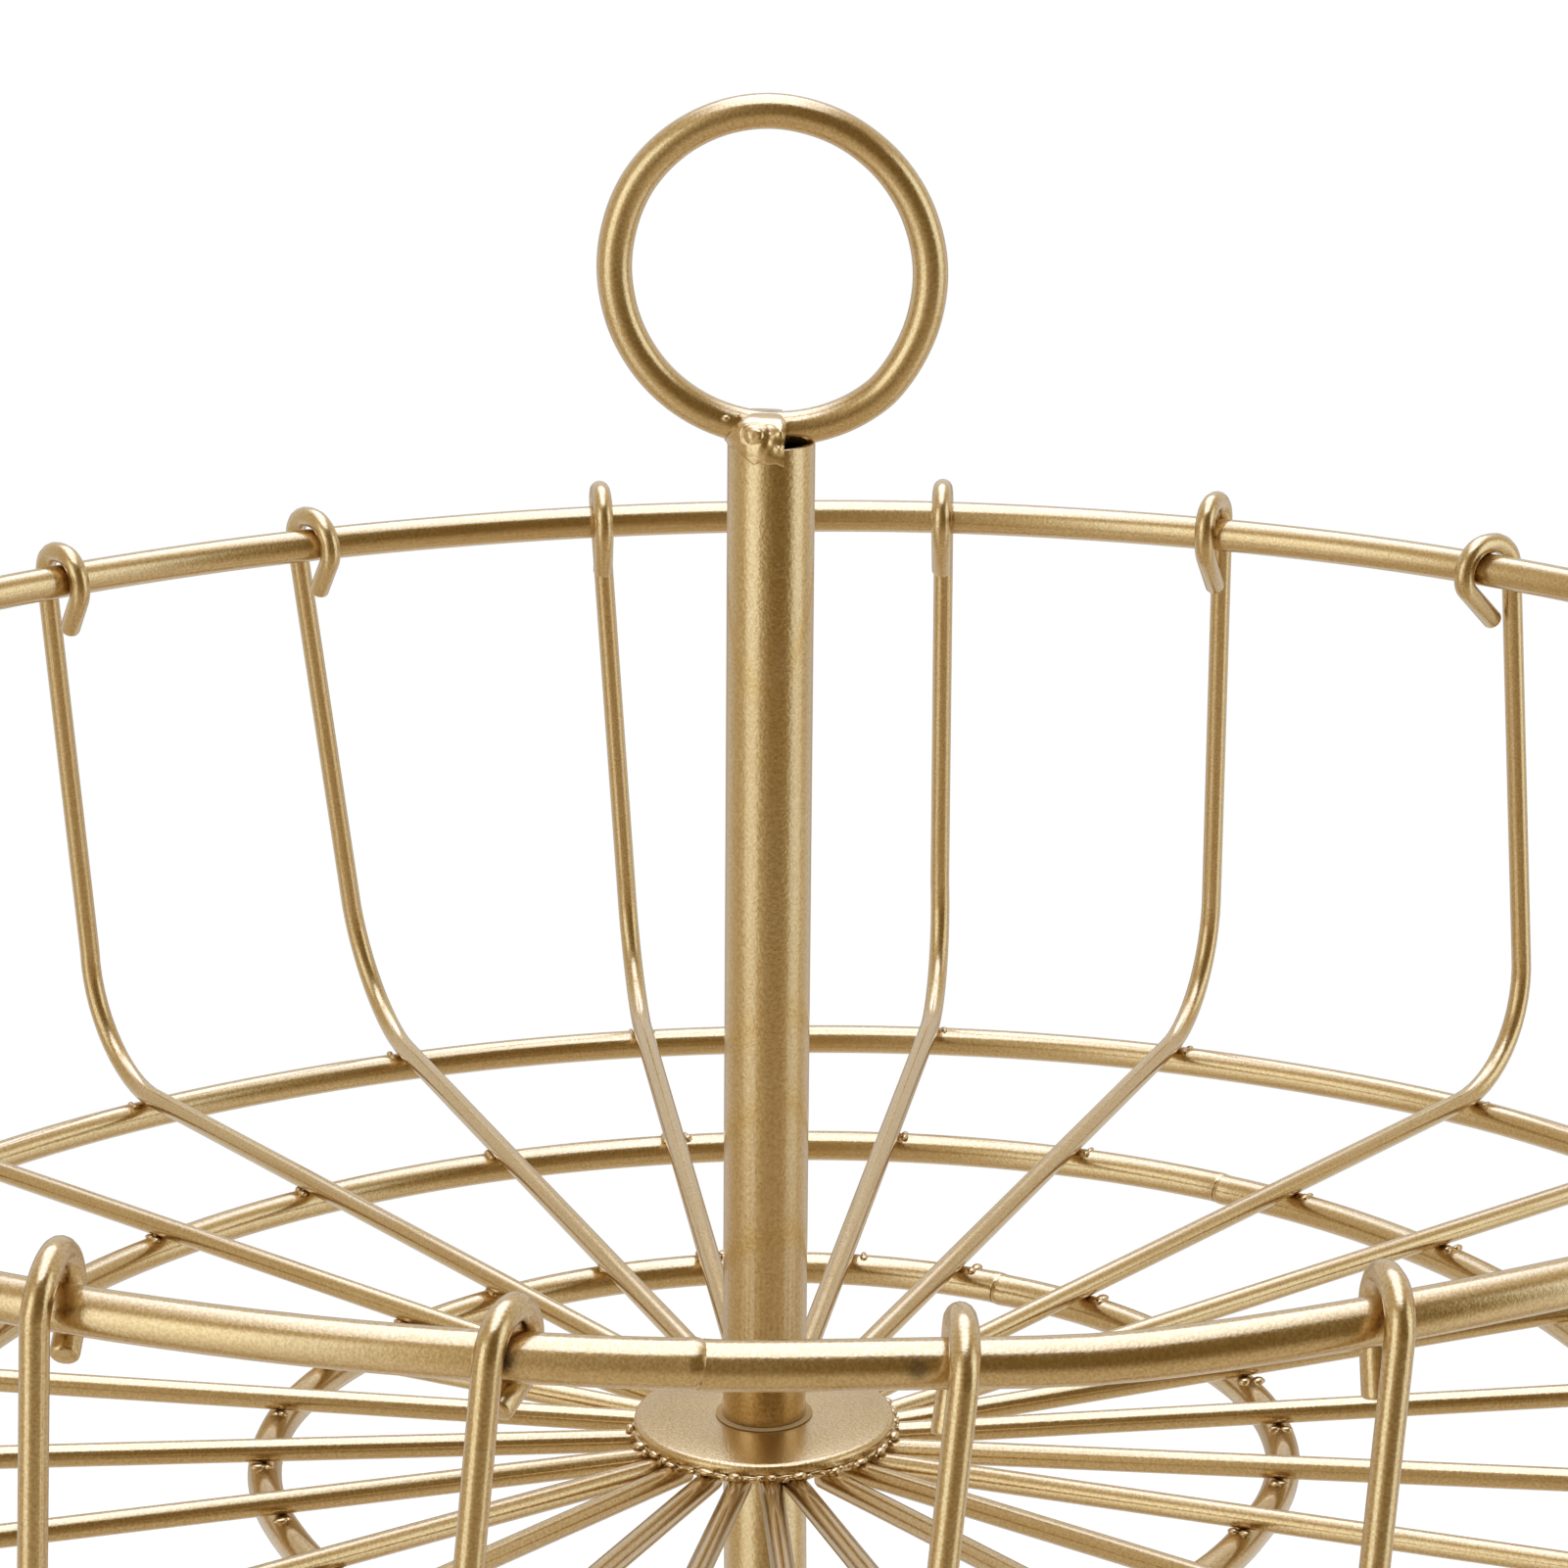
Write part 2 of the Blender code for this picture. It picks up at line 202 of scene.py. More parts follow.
class Link:
    def __init__(self, tree, socket):
        self.tree = tree
        self.socket = socket

    def maths(self, operation, *values):
        return self.tree.node("ShaderNodeMath", dict(enumerate(values)), operation=operation)

    def __add__(self, other):
        return self.maths("ADD", self, other)

    def __radd__(self, other):
        return self.maths("ADD", other, self)

    def __sub__(self, other):
        return self.maths("SUBTRACT", self, other)

    def __rsub__(self, other):
        return self.maths("SUBTRACT", other, self)

    def __mul__(self, other):
        return self.maths("MULTIPLY", self, other)

    def __rmul__(self, other):
        return self.maths("MULTIPLY", other, self)

    def between(self, low, high):
        # 0 at low, 1 at high, smooth in between
        return self.tree.node(
            "ShaderNodeMapRange",
            {"Value": self, "From Min": low, "From Max": high},
            interpolation_type="SMOOTHSTEP",
        )


class Tree:
    def __init__(self, owner):
        owner.use_nodes = True
        self.nodes = owner.node_tree.nodes
        self.links = owner.node_tree.links

    def node(self, kind, inputs=None, output=0, **settings):
        # any node: its settings first, then its sockets' values or links
        made = self.nodes.new(kind)
        for key, value in settings.items():
            setattr(made, key, value)
        self.plug(made, inputs or {})
        return Link(self, made.outputs[output])

    def plug(self, made, inputs):
        for key, value in inputs.items():
            if isinstance(value, Link):
                self.links.new(value.socket, made.inputs[key])
            else:
                made.inputs[key].default_value = value

    def mix(self, share, first, second):
        # a colour between two colours
        inputs = {0: share, 6: first, 7: second}
        return self.node("ShaderNodeMix", inputs, output=2, data_type="RGBA")

    def noise(self, place, scale, detail, roughness=0.5):
        # cloudy values from 0 to 1 over a place
        inputs = {"Vector": place, "Scale": scale, "Detail": detail, "Roughness": roughness}
        return self.node("ShaderNodeTexNoise", inputs)

    def vector(self, operation, *values, output=0):
        # vector maths; a length or a product comes from output 1
        inputs = dict(enumerate(values))
        return self.node("ShaderNodeVectorMath", inputs, output, operation=operation)

    def bump(self, height, strength, distance):
        # a normal tilted by the slope of a height
        inputs = {"Height": height, "Strength": strength, "Distance": distance}
        return self.node("ShaderNodeBump", inputs)


def newMaterial(name):
    # a material, its tree, its shader, and each point's place on the object
    material = bpy.data.materials.new(name)
    tree = Tree(material)
    place = tree.node("ShaderNodeTexCoord", output=3)
    return material, tree, tree.nodes["Principled BSDF"], place


goldPaint = dict(
    colour=(0.56, 0.365, 0.130, 1),
    paleColour=(0.66, 0.50, 0.25, 1),
    deepColour=(0.42, 0.25, 0.07, 1),
    stainColour=(0.03, 0.02, 0.02, 1),
    flakes=(3200, 2.0, 0.6),  # grains per metre, detail and roughness of the noise
    clouds=(45, 4.0, 0.55),
    flakeReach=(0.48, 0.66),  # where pale or deep flakes begin and where they are full
    cloudReach=(0.35, 0.75),
    paleShares=(0.45, 0.2),  # by flakes and by clouds
    deepShare=0.5,
    roughShares=(0.06, 0.05),  # by clouds and by flakes
    peelDepth=0.00010,  # of the grain's bump, m
    metallic=0.96,
    coatIor=1.8,
    stainFray=(0.8, 0.3),  # by clouds and by flakes, shares of a stain's size
    stainCore=0.25,
    stainRough=0.25,
    stainMatte=0.9,  # share of the clear coat that a stain takes away
)


def makeGold(name, scale=1.0, grain=0.2, roughness=0.19, coat=0.9, coatRoughness=0.10, stains=()):
    # satin gold: flakes of paler and deeper paint, slow clouds, a thin clear coat, dark heat stains
    material, tree, shader, place = newMaterial(name)
    fine, *texture = goldPaint["flakes"]
    flakes = tree.noise(place, fine * scale, *texture)
    clouds = tree.noise(place, *goldPaint["clouds"])
    byFlakes, byClouds = goldPaint["paleShares"]
    pale = flakes.between(*goldPaint["flakeReach"]) * byFlakes
    pale = pale + clouds.between(*goldPaint["cloudReach"]) * byClouds
    deep = (1 - flakes).between(*goldPaint["flakeReach"]) * goldPaint["deepShare"]
    paint = tree.mix(pale, goldPaint["colour"], goldPaint["paleColour"])
    paint = tree.mix(deep, paint, goldPaint["deepColour"])
    cloudRough, flakeRough = goldPaint["roughShares"]
    rough = roughness + clouds * cloudRough + flakes * flakeRough
    cloudFray, flakeFray = goldPaint["stainFray"]
    for middle, size, strength in stains:
        away = tree.vector("DISTANCE", place, middle, output=1)
        ragged = away + (clouds - 0.5) * size * cloudFray + (flakes - 0.5) * size * flakeFray
        stain = (1 - ragged.between(size * goldPaint["stainCore"], size)) * strength
        paint = tree.mix(stain, paint, goldPaint["stainColour"])
        rough = rough + stain * goldPaint["stainRough"]
        coat = coat * (1 - stain * goldPaint["stainMatte"])
    tree.plug(shader, {
        "Base Color": paint,
        "Roughness": rough,
        "Metallic": goldPaint["metallic"],
        "Coat Weight": coat,
        "Coat Roughness": coatRoughness,
        "Coat IOR": goldPaint["coatIor"],
        "Normal": tree.bump(flakes, grain, goldPaint["peelDepth"]),
    })
    return material


zincPaint = dict(
    coolColour=(0.52, 0.55, 0.60, 1),
    warmColour=(0.68, 0.66, 0.58, 1),
    drift=(180.0, 3.0),  # patches per metre and detail
    marks=(2600.0, 2.0),
    rough=(0.26, 0.14),  # the least, and what the marks add
    peel=(0.2, 0.00003),  # strength, and depth in m
)


def makeZinc():
    # bright zinc: a grey with faint turned marks and a slow blue-yellow drift
    material, tree, shader, place = newMaterial("zincPlate")
    marks = tree.noise(place, *zincPaint["marks"])
    patches = tree.noise(place, *zincPaint["drift"])
    colour = tree.mix(patches, zincPaint["coolColour"], zincPaint["warmColour"])
    least, added = zincPaint["rough"]
    tree.plug(shader, {
        "Base Color": colour,
        "Roughness": least + marks * added,
        "Metallic": 1.0,
        "Normal": tree.bump(marks, *zincPaint["peel"]),
    })
    return material


amberNylon = dict(
    darkColour=(0.38, 0.25, 0.11, 1),
    paleColour=(0.46, 0.31, 0.15, 1),
    scuffs=(900.0, 4.0),  # per metre, and detail
    rough=(0.4, 0.2),  # the least, and what the scuffs add
    ior=1.12,
    transmission=0.1,
)


def makeNylon():
    # thin amber nylon, a little milky, scuffed in places
    material, tree, shader, place = newMaterial("amberNylon")
    scuffs = tree.noise(place, *amberNylon["scuffs"])
    least, added = amberNylon["rough"]
    tree.plug(shader, {
        "Base Color": tree.mix(scuffs, amberNylon["darkColour"], amberNylon["paleColour"]),
        "Roughness": least + scuffs * added,
        "IOR": amberNylon["ior"],
        "Transmission Weight": amberNylon["transmission"],
    })
    return material


# Baskets

wireSizes = dict(spoke=2.8, floorRing=4.1, rim=4.6, handle=4.0)  # diameters, mm
wireSides = dict(spoke=16, ring=20, handle=24)
spokeBend = dict(radius=16.3, startToRing=3.6, deg=95.0, steps=14)  # mm and degrees
clippedEdge = 0.35  # rounding of a spoke's cut ends, mm
hook = dict(radius=4.15, spread=0.45, drop=1.6, tailBend=5.0, tailRoomShare=0.97)  # mm

# where each spoke stands on the floor and on the rim, degrees anticlockwise from +X
floorDeg = np.array([
    6.3, 20.5, 36.0, 49.8, 67.4, 81.2, 97.1, 110.9, 125.5, 138.6, 153.5, 168.2,
    182.7, 196.7, 213.5, 227.0, 243.0, 258.2, 273.0, 287.0, 306.7, 320.4, 337.4, 350.9,
])
rimDeg = np.array([
    7.2, 21.9, 36.8, 50.4, 66.4, 81.2, 98.8, 114.9, 128.4, 141.6, 156.0, 170.5,
    184.3, 199.0, 214.8, 229.7, 246.0, 261.1, 275.6, 289.9, 307.3, 321.5, 337.9, 352.1,
])

# how far each spoke strays anticlockwise: at the hub plate's edge, where its bend starts and where
# the bend ends, mm
strays = np.array([
    (-1.0, 0.5, 0.5), (-2.0, 1.0, 1.0), (-3.4, 1.72, 1.86), (-1.28, 0.34, 0.78),
    (-1.29, 0.41, 0.07), (-1.02, -0.11, 0.63), (0.21, 0.44, 0.14), (-1.34, -0.46, 0.20),
    (-1.94, 1.38, -0.34), (-0.68, 0.90, 0.86), (-0.5, 0, 0), (-1.73, 2.56, 2.41),
    (0, 0, 0), (1.74, -1.15, -1.18), (0.60, -0.41, -0.42), (-0.15, -0.57, -0.48),
    (0.07, 2.0, 6.5), (0, 0.8, 1.16), (0, -0.4, -0.54), (-0.61, 1.0, -1.16),
    (-1.4, 0.5, 0.4), (-0.93, 2.46, 2.25), (-2.18, 1.70, 1.71), (-1.62, 2.5, 2.35),
])

# hooks as they show in the photograph, by the spoke's number: shift along the rim, turn about the
# upright and slope of the tail in degrees; rise, width, tail length, lean to the side and the leg's
# shift along the rim in mm. The others vary about the usual one, each value by up to its reach
usualHook = dict(along=0, turn=0, rise=0.1, wide=0, tailDeg=36.0, tail=7.6, side=0, leg=0)
hookReach = dict(along=0.3, turn=9.0, rise=0.4, wide=0.2, tailDeg=10.0, tail=1.0)
hookShapes = {
    # in the order of the usual hook's values
    4: (0.92, -2.8, -0.35, 0.03, 50.2, 9.8, 0.0, -1.57),
    5: (0.11, 4.5, 0.65, -0.37, 46.0, 9.7, 0.0, -0.71),
    6: (-0.27, 6.1, 0.05, -0.02, 36.3, 7.9, 0.0, -0.24),
    7: (0.09, -1.7, 0.10, 0.12, 25.4, 6.3, 0.0, 0.0),
    8: (-0.63, 12.5, -0.45, 0.15, 33.2, 6.5, 0.0, 0.56),
    9: (-0.16, -3.7, -0.45, 0.06, 33.9, 6.9, 0.0, 0.99),
    17: (0.13, 18.2, 1.42, 0.48, 55.8, 5.1, 0.0, -0.55),
    18: (0.52, -12.6, 0.63, -0.40, 60.0, 5.6, -1.0, 0.0),
    19: (0.30, -2.4, -0.40, 0.44, 20.0, 6.8, -1.2, 0.0),
    20: (0.22, -10.5, -0.13, 0.10, 14.0, 7.25, 0.0, 0.0),
}

# hand-bent rings: angle in degrees, then outward and upward drift in mm at that angle
drifts = dict(
    rim=(
        (57, 0, 0.2), (72, 0, 0.15), (82, 0, 0.2), (107, 0, -0.25), (123, 0, -0.28), (150, 0, 0),
        (235, 0, 0.3), (250, 0, 0.5), (262, 0, 0.3), (267, 0, 0.05), (274, 0, 0), (277, 0, -0.3),
        (280, 0, -0.75), (283, 0, -0.6), (287, 0, -0.2), (292, 0, 0.2), (296, 0, 0.38), (320, 0, 0),
    ),
    inner=(
        (0, 0, 0), (15, 0.8, 0), (60, 1.5, 0.1), (90, 2.1, 0.1), (120, 1.7, 0.1), (165, 1.3, 0),
        (180, 0.5, 0), (200, -0.7, 0), (250, -1.0, 0), (325, -2.3, 0), (340, -1.9, 0),
        (350, -0.9, 0),
    ),
    middle=(
        (0, 0, 0), (30, 0.5, 0), (55, 1.0, 0.15), (65, 0.9, 0.15), (76, 0.7, 0.1), (86, 0.4, 0.1),
        (100, 0, 0),
    ),
    handle=(
        (0, 0.25, 0), (15, 0, 0), (33, -0.14, 0), (50, -0.2, 0), (75, -0.1, 0), (90, 0.05, 0),
        (107, 0.14, 0), (123, 0.17, 0), (147, 0.15, 0), (165, 0, 0), (190, 0, 0), (213, 0.16, 0),
        (235, 0.42, 0), (253, 0.65, 0), (270, 0.88, 0), (287, 1.1, 0), (300, 1.25, 0),
        (311, 1.3, 0), (327, 0.85, 0), (345, 0.48, 0),
    ),
    outer=(
        (20, 0, 0), (45, 0.9, 0.25), (50, 1.2, 0.3), (56, 1.0, 0.25), (62, 0.7, 0.2),
        (70, 0.8, 0.15), (90, 0, 0), (105, -0.4, -0.1), (118, -0.8, -0.2), (126, -0.8, -0.25),
        (138, -1.2, -0.4), (160, -0.5, -0.1), (200, 0, 0),
    ),
)
driftWindow = 9  # degrees over which the steps between these values are evened out

# dark tarnish on the front of the rim: angle, distance from the rings' middle, height over the hub
# plate and size in mm, strength
heatStains = (
    (261.4, 160.0, 73.4, 1.7, 0.9),
    (274.4, 160.0, 72.8, 1.5, 0.55),
    (245.8, 160.0, 73.5, 1.4, 0.95),
    (274.4, 160.0, 74.7, 0.9, 0.3),
    (289.8, 160.0, 73.0, 0.9, 0.4),
)

baskets = dict(
    upper=dict(
        body="upper_basket",
        turnDeg=0.0,
        ringsAside=1.43,  # the rings sit this far to +X of the pole, mm
        ringLift=0.15,  # wires that are welded touch, so the gap between the solids is closed, mm
        riseShare=1.0,  # how much of the rings' upward drift it has; the lower rings stand flat
        rimSeamDeg=267.53,
        pairs=(),
    ),
    lower=dict(
        body="lower_tier",
        turnDeg=115.0,
        ringsAside=0.0,
        ringLift=0.0,
        riseShare=0.0,
        rimSeamDeg=80.0,
        pairs=(4, 7, 11, 13, 17, 22),  # spokes that share a node with the next one
    ),
)
beadSeed = 11  # for the uneven beads of weld metal


def spans(node):
    # lowest and highest distance from the pole's axis, and lowest and highest height, of a node
    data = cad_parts[node].data
    points = np.empty(len(data.vertices) * 3)
    data.vertices.foreach_get("co", points)
    points = points.reshape(-1, 3)
    away = np.hypot(points[:, 0], points[:, 1])
    return away.min(), away.max(), points[:, 2].min(), points[:, 2].max()


def middles(node):
    # a ring's mean distance from the pole's axis and mean height
    inner, outer, low, high = spans(node)
    return (inner + outer) / 2, (low + high) / 2


def outward(deg):
    # the level direction that leaves the pole at this angle
    turn = np.radians(deg)
    return np.stack([np.cos(turn), np.sin(turn), 0 * turn], -1)


def drift(place, deg):
    # a ring's outward and upward drift at some angles: its table's values, evened out
    table = np.array(drifts[place], float)
    even = np.arange(360.0)
    window = np.hanning(driftWindow) / np.hanning(driftWindow).sum()
    moved = []
    for values in table[:, 1:].T:
        thrice = np.tile(np.interp(even, table[:, 0], values, period=360), 3)
        smooth = np.convolve(thrice, window, "same")[360:720]
        moved.append(np.interp(deg, even, smooth, period=360) * mm)
    return moved


def hookShape(basket, number):
    # a hook that shows has its own shape; the others are usual + reach * share, with each share
    # drawn from -1 to 1
    if basket["body"] == "upper_basket" and number in hookShapes:
        return dict(zip(usualHook, hookShapes[number]))
    shares = np.random.default_rng(number).uniform(-1, 1, len(hookReach))
    varied = {key: usualHook[key] + reach * share
              for (key, reach), share in zip(hookReach.items(), shares)}
    return dict(usualHook, **varied)


def strayAt(basket, away):
    # each spoke's sideways shift at a distance from the pole, between the hub's and the bend's
    hub, bend = strays[:, 0] * mm, strays[:, 1] * mm
    reach = basket["bendStart"] - basket["plateRadius"]
    return hub + (bend - hub) * (away - basket["plateRadius"]) / reach


def spokePath(basket, index):
    # centre line of one spoke: floor, bend, leaning side, hook over the rim, tail; its corners are
    # rounded by arcs, and the floor and the first bend are moved sideways by the spoke's stray
    shape = hookShape(basket, index + 1)
    floorTurn = floorDeg[index] + basket["turnDeg"]
    rimTurn = rimDeg[index] + shape["along"] + basket["turnDeg"]
    out, aroundRim = outward(floorTurn), outward(rimTurn + 90)
    hookOut = outward(rimTurn + shape["turn"])
    aside = basket["aside"]
    level = up * basket["spokeLevel"]
    arcLength = spokeBend["radius"] * mm * math.tan(math.radians(spokeBend["deg"]) / 2)
    middle = aside + outward(rimTurn) * basket["rimRadius"] + up * basket["rimHeight"]
    inside = (hook["radius"] + shape["wide"]) * mm
    over = up * (hook["radius"] + shape["rise"]) * mm
    tail = math.radians(shape["tailDeg"])
    leg = hookOut * (inside + hook["spread"] * mm) + aroundRim * shape["leg"] * mm
    drop = middle - hookOut * inside - up * hook["drop"] * mm
    tailOut = hookOut * math.sin(tail) - up * math.cos(tail)
    corners = np.stack([
        out * basket["spokeStart"] + level,
        aside + out * (basket["bendStart"] + arcLength) + level,
        middle + leg + over,
        middle - hookOut * inside + over,
        drop,
        drop + tailOut * shape["tail"] * mm + aroundRim * shape["side"] * mm,
    ])
    tailRoom = (hook["drop"] + shape["rise"] - shape["wide"]) / math.tan(tail / 2)
    tailBend = min(hook["tailBend"], tailRoom * hook["tailRoomShare"])
    steps = spokeBend["steps"]
    path = bent(corners, [spokeBend["radius"] * mm, inside, inside, tailBend * mm], steps)
    atStart = strayAt(basket, basket["spokeStart"])[index:index + 1]
    shift = np.concatenate([atStart, np.linspace(*strays[index, 1:], steps) * mm])
    path[:1 + steps] += shift[:, None] * outward(floorTurn + 90)
    return path


def spokeGrid(basket, index):
    # a spoke: its centre line carried by the wire's circle, the ends clipped
    path, radii = cutEnds(spokePath(basket, index), wireSizes["spoke"] * mm / 2, clippedEdge * mm)
    across = outward(rimDeg[index] + basket["turnDeg"] + 90)
    return carried(path, radii, across, wireSides["spoke"])


seam = dict(
    # a ring's butt weld, lengths in mm
    fineReach=30,
    fineSteps=61,
    evenSteps=200,
    step=-0.25,  # how far one end sits off the other: the rim's, then the floor rings'
    floorStep=0.12,
    stepEase=12,
    stepEdge=0.12,
    swell=0.05,
    swellReach=1.1,
    groove=0.10,
    grooveReach=0.14,
    floorDeg=dict(inner=62.0, middle=56.0, outer=214.0),
)


def ringGrid(place, radius, height, wire, seamDeg, basket, step):
    # a wire ring with a butt weld: a narrow groove in a low swell, and one end that sits a step
    # off and eases back; points stand close by the seam, as the cube of an even row
    near = np.linspace(-1, 1, seam["fineSteps"]) ** 3 * seam["fineReach"] * mm / radius
    even = np.linspace(near[-1], 2 * math.pi + near[0], seam["evenSteps"])[1:-1]
    angle = np.concatenate([near, even])
    arc = np.where(angle > math.pi, angle - 2 * math.pi, angle) * radius / mm
    before = (1 - np.tanh(arc / seam["stepEdge"] / 2)) / 2
    shift = -step * np.exp(-np.abs(arc) / seam["stepEase"]) * before * mm
    swell = seam["swell"] * np.exp(-(arc / seam["swellReach"]) ** 2)
    groove = seam["groove"] * np.exp(-(arc / seam["grooveReach"]) ** 2)
    deg = np.degrees(angle) + seamDeg
    away, rise = drift(place, deg - basket["turnDeg"])
    path = outward(deg) * (radius + shift + away)[:, None] + basket["aside"]
    path[:, 2] = height + shift + rise * basket["riseShare"]
    radii = (wire / 2 + swell - groove) * mm
    return carried(path, radii, up, wireSides["ring"], closed=True)


crossingWeld = dict(
    # beads beside a crossing of a spoke and a floor ring, lengths in mm
    sides=(-1.0, -1.0, 1.0, 1.0),  # each bead's side of the spoke, and its place along the spoke
    aheads=(-0.55, 0.55, -0.55, 0.55),
    aheadReach=0.35,
    away=(1.3, 1.65),  # from the spoke's middle
    sunk=0.15,
    long=(0.6, 1.0),
    wide=(0.4, 0.7),
    tall=(0.35, 0.5),
    outerShare=0.7,  # size of the beads on the outer ring
    lump=0.2,
)


def beads(basket, radius, beyond, spread, height, sizes, lump, chance):
    # uneven beads beside the spokes: so far beyond a radius, and beside the spoke's middle, in m
    count = len(spread) // len(floorDeg)
    turns = np.repeat(floorDeg + basket["turnDeg"], count)
    out, around = outward(turns), outward(turns + 90)
    middle = out * (radius + beyond)[:, None]
    middle += around * (spread + np.repeat(strayAt(basket, radius), count))[:, None]
    middle[:, 2] = height
    axes = np.stack([out, around, np.tile(up, (len(turns), 1))], 1)
    return list(blobs(middle, axes, sizes, chance.uniform(-lump, lump, (len(turns), 3))))


def ringWelds(place, basket, radius, ringHeight, chance):
    # flash squeezed into the corner on both sides of each crossing of a spoke and a floor ring: two
    # uneven beads a side, along the spoke, close under the wire
    small = crossingWeld["outerShare"] if place == "outer" else 1.0
    side = np.tile(crossingWeld["sides"], len(floorDeg))
    many = len(side)
    reach = crossingWeld["aheadReach"]
    ahead = np.tile(crossingWeld["aheads"], len(floorDeg)) + chance.uniform(-reach, reach, many)
    spread = side * chance.uniform(*crossingWeld["away"], many) * mm
    away, rise = drift(place, np.repeat(floorDeg, len(crossingWeld["sides"])))
    ringTop = ringHeight + rise * basket["riseShare"] + wireSizes["floorRing"] / 2 * mm
    height = ringTop - crossingWeld["sunk"] * mm
    sizes = [chance.uniform(*crossingWeld[key], many) for key in ("long", "wide", "tall")]
    sizes = np.stack(sizes, -1) * small * mm
    lump = crossingWeld["lump"]
    made = beads(basket, radius, away + ahead * mm, spread, height, sizes, lump, chance)
    return [bead + basket["aside"] for bead in made]


hubWeld = dict(
    # weld metal under a hub plate's edge, lengths in mm
    collar=0.50,
    collarLumps=0.07,
    inside=0.35,
    under=0.50,
    waves=((0.5, 23, 1.0), (0.3, 41, 0.0), (0.3, 67, 2.0)),  # share, count and phase of each sine
    wander=0.12,
    heave=((0.08, 31, 0.0),),
    steps=360,
    sides=12,
    spreads=(0.0, -1.3, 1.4),  # places beside each spoke: a nugget on its top and two small beads
    nuggets=(1.0, 0.0, 0.0),
    spreadReach=0.4,
    nuggetOut=0.15,
    out=(-0.1, 0.25),
    below=0.35,
    nuggetUp=0.1,
    belowReach=0.12,
    bead=0.62,
    smallBead=0.36,
    sizeReach=(-0.16, 0.14),
    wideShare=(1.0, 1.6),
    tallShare=0.75,
    lump=0.2,
)


def hubCollar(basket, plateUnder):
    # weld metal that runs round under the plate's edge: a circle whose thickness and place are
    # uneven by a sum of sines of the angle
    angle = np.linspace(0, 2 * math.pi, hubWeld["steps"], endpoint=False)
    uneven = sines(angle, hubWeld["waves"])
    away = basket["plateRadius"] + (hubWeld["wander"] * uneven - hubWeld["inside"]) * mm
    path = outward(np.degrees(angle) + basket["turnDeg"]) * away[:, None]
    path[:, 2] = plateUnder - (hubWeld["under"] - sines(angle, hubWeld["heave"])) * mm
    thick = (hubWeld["collar"] + hubWeld["collarLumps"] * uneven[::-1]) * mm
    return carried(path, thick, up, hubWeld["sides"], closed=True)


def hubWelds(basket, plateUnder, chance):
    # beads under the hub plate's edge: one nugget on top of each spoke and small ones beside it
    big = np.tile(hubWeld["nuggets"], len(floorDeg))
    many = len(big)
    reach, belowReach = hubWeld["spreadReach"], hubWeld["belowReach"]
    spread = np.tile(hubWeld["spreads"], len(floorDeg)) + chance.uniform(-reach, reach, many)
    beyond = hubWeld["nuggetOut"] * big + chance.uniform(*hubWeld["out"], many)
    below = chance.uniform(-belowReach, belowReach, many)
    below += hubWeld["below"] - hubWeld["nuggetUp"] * big
    thick = hubWeld["smallBead"] + big * (hubWeld["bead"] - hubWeld["smallBead"])
    thick = thick + chance.uniform(*hubWeld["sizeReach"], many)
    wide = thick * chance.uniform(*hubWeld["wideShare"], many)
    sizes = np.stack([thick, wide, thick * hubWeld["tallShare"]], -1) * mm
    return beads(basket, basket["plateRadius"], beyond * mm, spread * mm, plateUnder - below * mm,
                 sizes, hubWeld["lump"], chance)


hubPlate = dict(
    # rounding of the lower and upper outer edge and of the upper and lower edge of the hole, mm
    edges=(0.1, 0.7, 0.15, 0.1),
    steps=180,
)


def measureBasket(tier):
    # radii and heights that the wires share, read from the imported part
    basket = baskets[tier]
    basket["aside"] = np.array([basket["ringsAside"] * mm, 0, 0])
    basket["rimRadius"], basket["rimHeight"] = middles(f"{tier}_rim")
    basket["plateRadius"] = spans(f"{tier}_plate")[1]
    radius, height = middles(f"{tier}_floor_ring_outer")
    basket["bendStart"] = radius - spokeBend["startToRing"] * mm
    basket["ringHeight"] = height + basket["ringLift"] * mm
    spokeRise = (wireSizes["floorRing"] + wireSizes["spoke"]) / 2 * mm
    basket["spokeLevel"] = basket["ringHeight"] + spokeRise
    basket["spokeStart"] = spans(f"{tier}_spoke_01")[0]
    return basket


